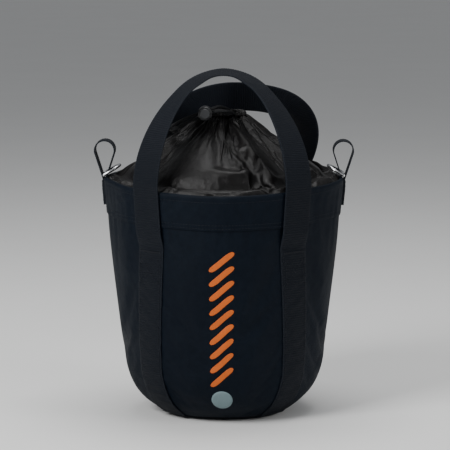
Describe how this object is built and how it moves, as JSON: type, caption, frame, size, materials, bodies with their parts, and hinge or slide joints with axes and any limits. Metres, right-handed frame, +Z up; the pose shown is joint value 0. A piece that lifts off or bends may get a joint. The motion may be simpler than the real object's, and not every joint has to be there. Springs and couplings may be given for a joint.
{
  "type": "rope storage bag",
  "caption": "Round soft bucket bag for rope, with carry handles, a gathered drawcord collar with a cord lock, and side loops with D-rings.",
  "frame": {"origin": "middle of the base, on the ground", "axes": "+Z up, -Y towards the printed front, +X towards the right side loop"},
  "size_m": [0.3356, 0.305, 0.4437],
  "materials": {
    "body_fabric": "heavy coated woven polyester, near black with a blue cast, soft sheen",
    "stiffener_sheet": "plain plastic sheet",
    "binding_tape": "woven edge tape, matt",
    "print_orange": "printed film, satin",
    "print_pale": "printed film, satin",
    "collar_fabric": "thin tightly woven nylon, shiny, warm black",
    "cord": "braided cord, matt black",
    "lock_barrel": "moulded plastic, satin black",
    "lock_plunger": "moulded plastic, satin dark grey",
    "spring_steel": "drawn spring wire",
    "webbing": "ribbed woven webbing, navy black",
    "bar_tack_thread": "dense zigzag of polyester thread",
    "ring_steel": "polished welded steel wire"
  },
  "bodies": {
    "bag": {"base_panel": "body_fabric", "base_stiffener": "stiffener_sheet", "base_seam_binding": "binding_tape", "front_wall": "body_fabric", "rear_wall": "body_fabric", "left_seam_tape": "binding_tape", "right_seam_tape": "binding_tape", "printed_band": "print_orange", "printed_disc": "print_pale", "hem_band": "body_fabric", "rim_tape": "binding_tape", "collar": "collar_fabric", "drawcord_tunnel": "collar_fabric", "drawcord_in_tunnel": "cord", "drawcord_tail_lower": "cord", "drawcord_tail_upper": "cord", "drawcord_knot": "cord", "front_left_strap": "webbing", "front_right_strap": "webbing", "rear_left_strap": "webbing", "rear_right_strap": "webbing", "strap_bar_tacks": "bar_tack_thread", "left_tab": "webbing", "right_tab": "webbing", "tab_bar_tacks": "bar_tack_thread"},
    "front_handle": {"front_handle": "webbing"},
    "rear_handle": {"rear_handle": "webbing"},
    "left_loop": {"left_loop": "webbing"},
    "right_loop": {"right_loop": "webbing"},
    "left_ring": {"left_ring": "ring_steel"},
    "right_ring": {"right_ring": "ring_steel"},
    "cord_lock": {"cord_lock_barrel": "lock_barrel", "cord_lock_spring": "spring_steel"},
    "lock_plunger": {"cord_lock_plunger": "lock_plunger"}
  },
  "joints": [
    {"name": "front_handle_swing", "type": "hinge", "parent": "bag", "child": "front_handle", "pos_m": [0, -0.1275, 0.232], "axis": [1, 0, 0], "range_deg": [0, 150]},
    {"name": "rear_handle_swing", "type": "hinge", "parent": "bag", "child": "rear_handle", "pos_m": [0, 0.1275, 0.232], "axis": [-1, 0, 0], "range_deg": [0, 150]},
    {"name": "left_loop_bend", "type": "hinge", "parent": "bag", "child": "left_loop", "pos_m": [-0.156, 0, 0.3], "axis": [0, -1, 0], "range_deg": [-6, 40], "stiffness_Nm_per_rad": 0.15},
    {"name": "right_loop_bend", "type": "hinge", "parent": "bag", "child": "right_loop", "pos_m": [0.156, 0, 0.3], "axis": [0, 1, 0], "range_deg": [-6, 40], "stiffness_Nm_per_rad": 0.15},
    {"name": "left_ring_turn", "type": "hinge", "parent": "left_loop", "child": "left_ring", "pos_m": [-0.1542, 0, 0.30763], "axis": [0, -1, 0], "range_deg": [0, 16]},
    {"name": "right_ring_turn", "type": "hinge", "parent": "right_loop", "child": "right_ring", "pos_m": [0.1542, 0, 0.30763], "axis": [0, 1, 0], "range_deg": [0, 16]},
    {"name": "cord_lock_slide", "type": "slide", "parent": "bag", "child": "cord_lock", "axis": [-0.9363, 0, -0.3511], "range_m": [0, 0.008]},
    {"name": "lock_plunger_press", "type": "slide", "parent": "cord_lock", "child": "lock_plunger", "axis": [0, 1, 0], "range_m": [0, 0.003], "stiffness_N_per_m": 600, "springref_m": -0.002, "deforming": ["cord_lock_spring"]}
  ]
}
